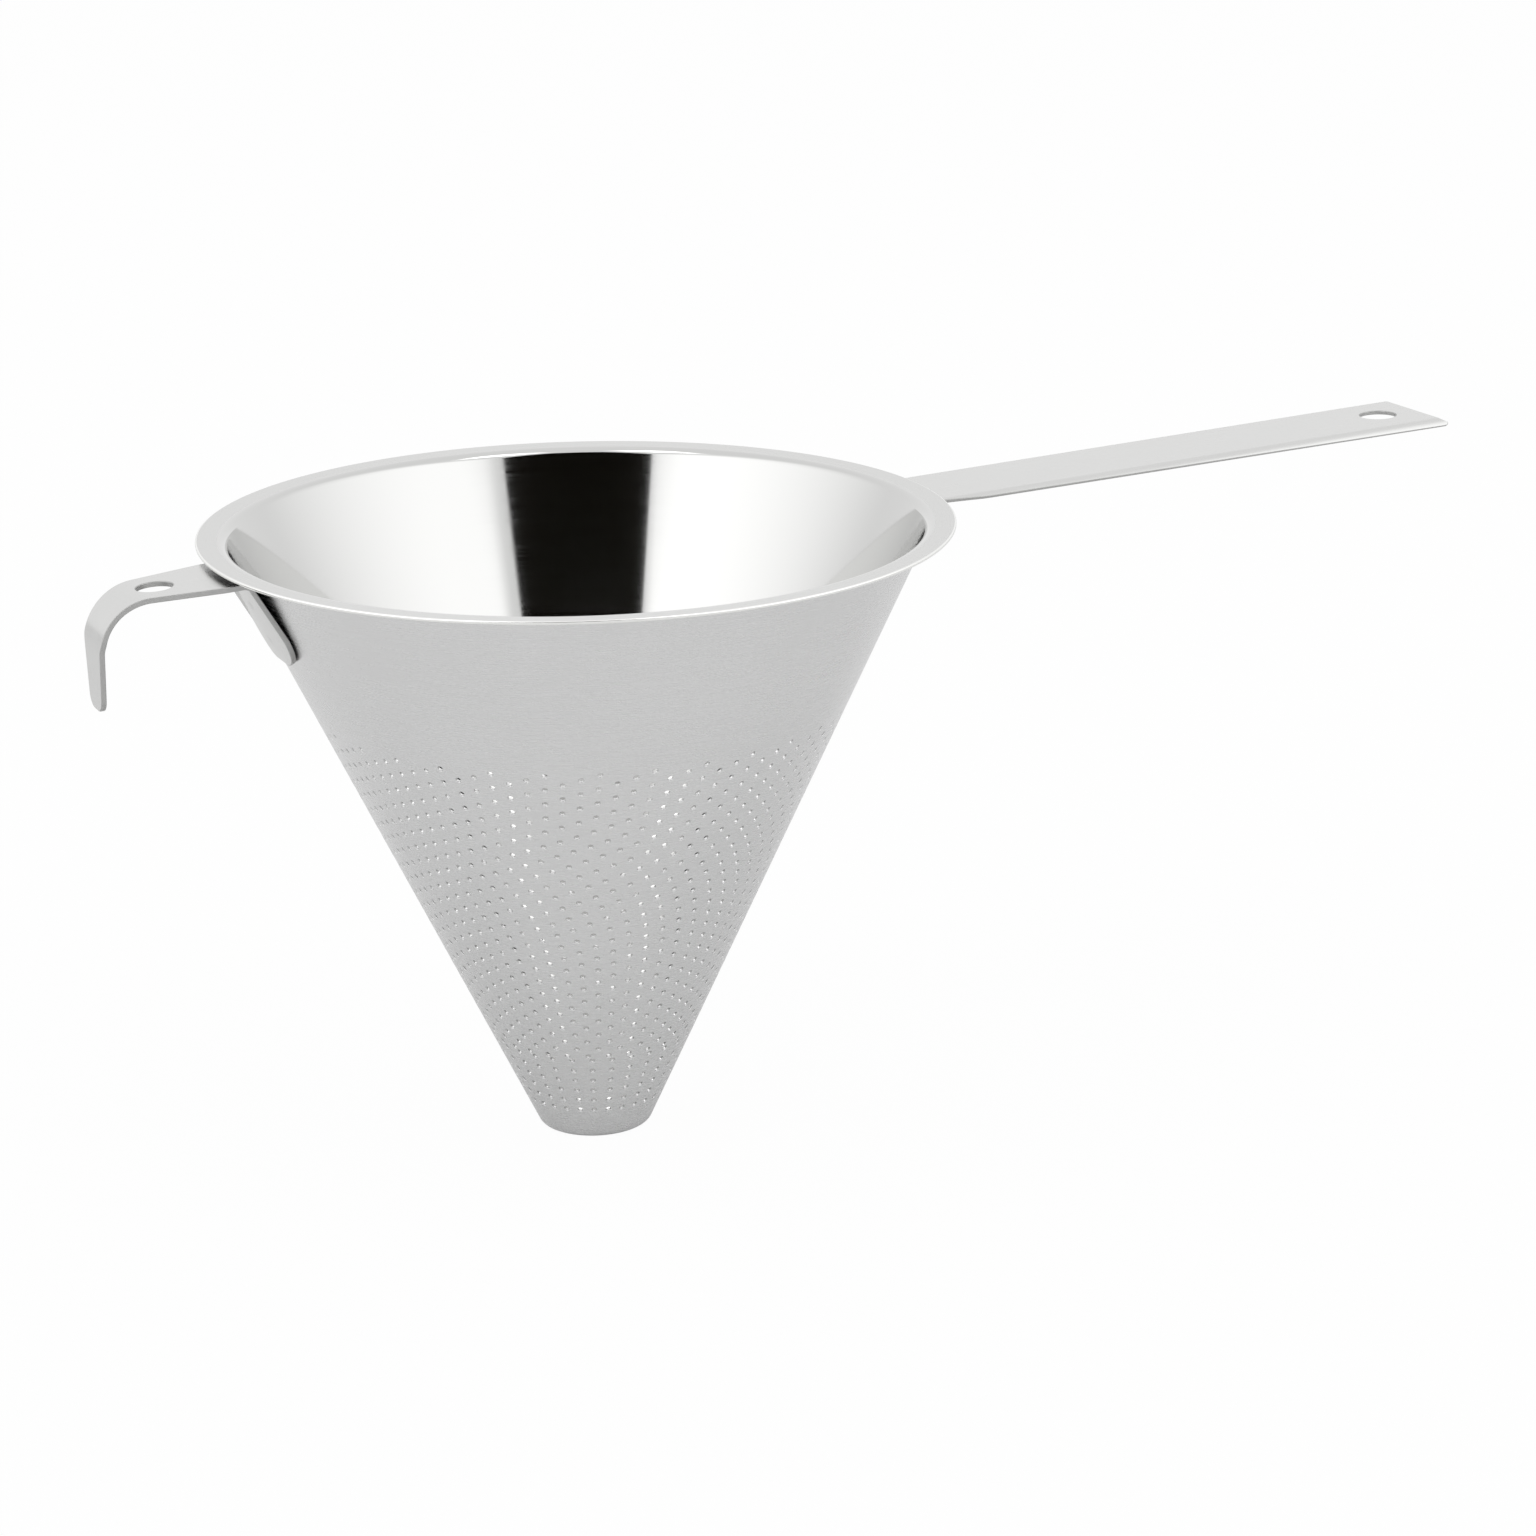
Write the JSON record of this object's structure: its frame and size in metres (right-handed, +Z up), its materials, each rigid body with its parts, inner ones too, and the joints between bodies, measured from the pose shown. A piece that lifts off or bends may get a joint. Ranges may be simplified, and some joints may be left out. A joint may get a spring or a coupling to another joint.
{
  "type": "chinois strainer",
  "caption": "Conical strainer of perforated stainless sheet with a rolled-out rim, a closed flat tip, a long strip handle with a hanging hole and a bent pot-rest hook.",
  "frame": {"origin": "centre of the closed tip's flat underside, on the axis of the cone", "axes": "+Z up the axis of the cone towards the mouth, +X along the handle, -X along the rest hook"},
  "size_m": [0.4189, 0.2112, 0.1818],
  "materials": {
    "cone_steel": "satin outside with fine rings, mirror-polished inside",
    "strip_steel": "satin with lengthwise grain",
    "weld_steel": "fused steel"
  },
  "bodies": {
    "root": {"strainer_cone": "cone_steel", "handle": "strip_steel", "rest_hook": "strip_steel", "handle_spot_welds": "weld_steel", "hook_spot_welds": "weld_steel"}
  },
  "joints": []
}
